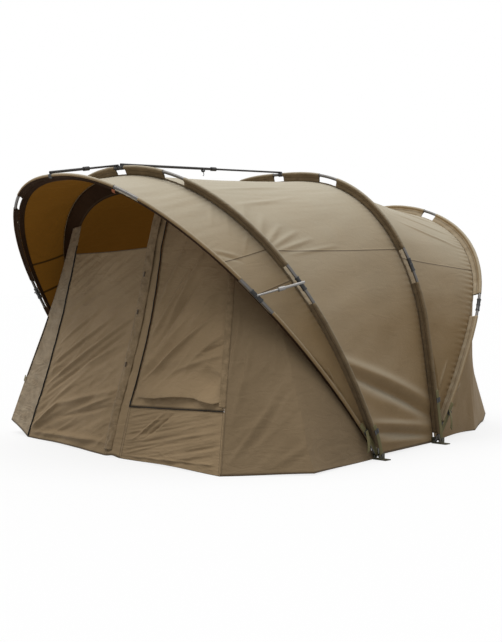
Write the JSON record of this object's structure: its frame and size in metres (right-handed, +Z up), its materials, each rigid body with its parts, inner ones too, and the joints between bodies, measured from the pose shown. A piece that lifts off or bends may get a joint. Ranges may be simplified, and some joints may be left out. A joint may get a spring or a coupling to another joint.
{
  "type": "bivvy tent",
  "caption": "Pram-hood bivvy tent on folding arched ribs, with telescopic ridge bars, side braces, a zipped front with a lowered door panel and hubs with peg lugs.",
  "frame": {"origin": "on the ground, under the middle of the tent's outline", "axes": "+Z up, +Y to the back wall, the doors face -Y, +X to the right of someone inside looking at the back wall"},
  "size_m": [2.6616, 3.467, 1.773],
  "materials": {
    "canopy": "matt waterproofed cloth",
    "pocket": "matt heavier cloth",
    "webbing": "woven tape",
    "pole": "dark anodised",
    "bar": "clear anodised",
    "collar": "moulded black",
    "pin": "bright steel",
    "slider": "black lacquer"
  },
  "bodies": {
    "ground_frame": {"back_wall": "canopy", "front_hub_left": "collar", "front_hub_pin_left": "pin", "front_hub_pin_right": "pin", "front_hub_right": "collar", "main_panel": "canopy", "rear_hub_left": "collar", "rear_hub_pin_left": "pin", "rear_hub_pin_right": "pin", "rear_hub_right": "collar", "rear_panel": "canopy", "rib_3_connector_left": "collar", "rib_3_connector_right": "collar", "rib_3_crown_pole": "pole", "rib_3_leg_left": "pole", "rib_3_leg_right": "pole", "rib_3_sleeve": "pocket"},
    "rib_2": {"centre_post": "webbing", "front_facing": "pocket", "hood_panel": "canopy", "infill_left_post": "webbing", "infill_left_wing": "canopy", "infill_right_wing": "canopy", "rib_2_connector_left": "collar", "rib_2_connector_right": "collar", "rib_2_crown_pole": "pole", "rib_2_leg_left": "pole", "rib_2_leg_right": "pole", "rib_2_sleeve": "pocket", "right_sill": "canopy"},
    "rib_1": {"front_foot_strap_left": "webbing", "front_foot_strap_right": "webbing", "rib_1_connector_left": "collar", "rib_1_connector_right": "collar", "rib_1_crown_pole": "pole", "rib_1_leg_left": "pole", "rib_1_leg_right": "pole", "rib_1_sleeve": "pocket", "ridge_bar_front_outer": "pole"},
    "rib_4": {"rear_foot_strap_left": "webbing", "rear_foot_strap_right": "webbing", "rib_4_connector_left": "collar", "rib_4_connector_right": "collar", "rib_4_crown_pole": "pole", "rib_4_leg_left": "pole", "rib_4_leg_right": "pole", "rib_4_sleeve": "pocket"},
    "ridge_bar_rear_outer": {"ridge_bar_rear_outer": "pole"},
    "ridge_bar_rear_inner": {"ridge_bar_rear_inner": "bar"},
    "ridge_bar_front_inner": {"ridge_bar_front_inner": "bar"},
    "side_brace_left_outer": {"side_brace_left_outer": "pole"},
    "side_brace_left_inner": {"side_brace_left_inner": "bar"},
    "side_brace_right_outer": {"side_brace_right_outer": "pole"},
    "side_brace_right_inner": {"side_brace_right_inner": "bar"},
    "right_door": {"right_door_panel": "canopy"},
    "left_door": {"left_door_panel": "canopy"},
    "right_zip": {"right_zip_slider": "slider"},
    "left_zip": {"left_zip_slider": "slider"}
  },
  "joints": [
    {"name": "rib_2_fold", "type": "hinge", "parent": "ground_frame", "child": "rib_2", "pos_m": [-0.00017, -0.28739, 0.026], "axis": [-1, 0, 0], "range_deg": [0, 36], "deforming": ["main_panel"]},
    {"name": "rib_1_fold", "type": "hinge", "parent": "rib_2", "child": "rib_1", "pos_m": [-0.00017, -0.28739, 0.026], "axis": [-1, 0, 0], "range_deg": [0, 7], "deforming": ["hood_panel"]},
    {"name": "rib_4_fold", "type": "hinge", "parent": "ground_frame", "child": "rib_4", "pos_m": [-0.00017, 0.51761, 0.026], "axis": [1, 0, 0], "range_deg": [0, 33], "deforming": ["rear_panel", "back_wall"]},
    {"name": "ridge_bar_rear_swing", "type": "hinge", "parent": "rib_2", "child": "ridge_bar_rear_outer", "pos_m": [0.01983, -1.24467, 1.727], "axis": [1, 0, 0], "range_deg": [0, 24]},
    {"name": "ridge_bar_rear_slide", "type": "slide", "parent": "ridge_bar_rear_outer", "child": "ridge_bar_rear_inner", "axis": [0, -0.9996, -0.0292], "range_m": [0, 0.57]},
    {"name": "ridge_bar_front_slide", "type": "slide", "parent": "rib_1", "child": "ridge_bar_front_inner", "axis": [0, -0.9892, -0.1464], "range_m": [0, 0.12]},
    {"name": "side_brace_left_swing", "type": "hinge", "parent": "rib_2", "child": "side_brace_left_outer", "pos_m": [-1.12164, -0.85926, 1.03267], "axis": [-1, 0, 0], "range_deg": [0, 70]},
    {"name": "side_brace_left_slide", "type": "slide", "parent": "side_brace_left_outer", "child": "side_brace_left_inner", "axis": [-0.2991, 0.9232, 0.2413], "range_m": [0, 0.07]},
    {"name": "side_brace_right_swing", "type": "hinge", "parent": "rib_2", "child": "side_brace_right_outer", "pos_m": [1.12129, -0.85926, 1.03267], "axis": [-1, 0, 0], "range_deg": [0, 70]},
    {"name": "side_brace_right_slide", "type": "slide", "parent": "side_brace_right_outer", "child": "side_brace_right_inner", "axis": [0.2991, 0.9232, 0.2413], "range_m": [0, 0.07]},
    {"name": "right_door_swing", "type": "hinge", "parent": "rib_2", "child": "right_door", "pos_m": [0.98983, -1.38739, 0.0015], "axis": [0.1342, -0.352, -0.9263], "range_deg": [0, 75]},
    {"name": "left_door_swing", "type": "hinge", "parent": "rib_2", "child": "left_door", "pos_m": [-1.01017, -1.24739, 0.0015], "axis": [-0.997, 0.0779, 0], "range_deg": [0, 60]},
    {"name": "right_zip_slide", "type": "slide", "parent": "rib_2", "child": "right_zip", "axis": [0.161, 0.1258, 0.9789], "range_m": [0, 0.908]},
    {"name": "left_zip_slide", "type": "slide", "parent": "rib_2", "child": "left_zip", "axis": [-0.2142, -0.1704, -0.9618], "range_m": [0, 1.216]}
  ],
  "couplings": [
    {"joint": "ridge_bar_rear_swing", "follows": "rib_2_fold", "ratio": 0.5},
    {"joint": "ridge_bar_rear_slide", "follows": "rib_2_fold", "m_per_rad": 0.8}
  ]
}
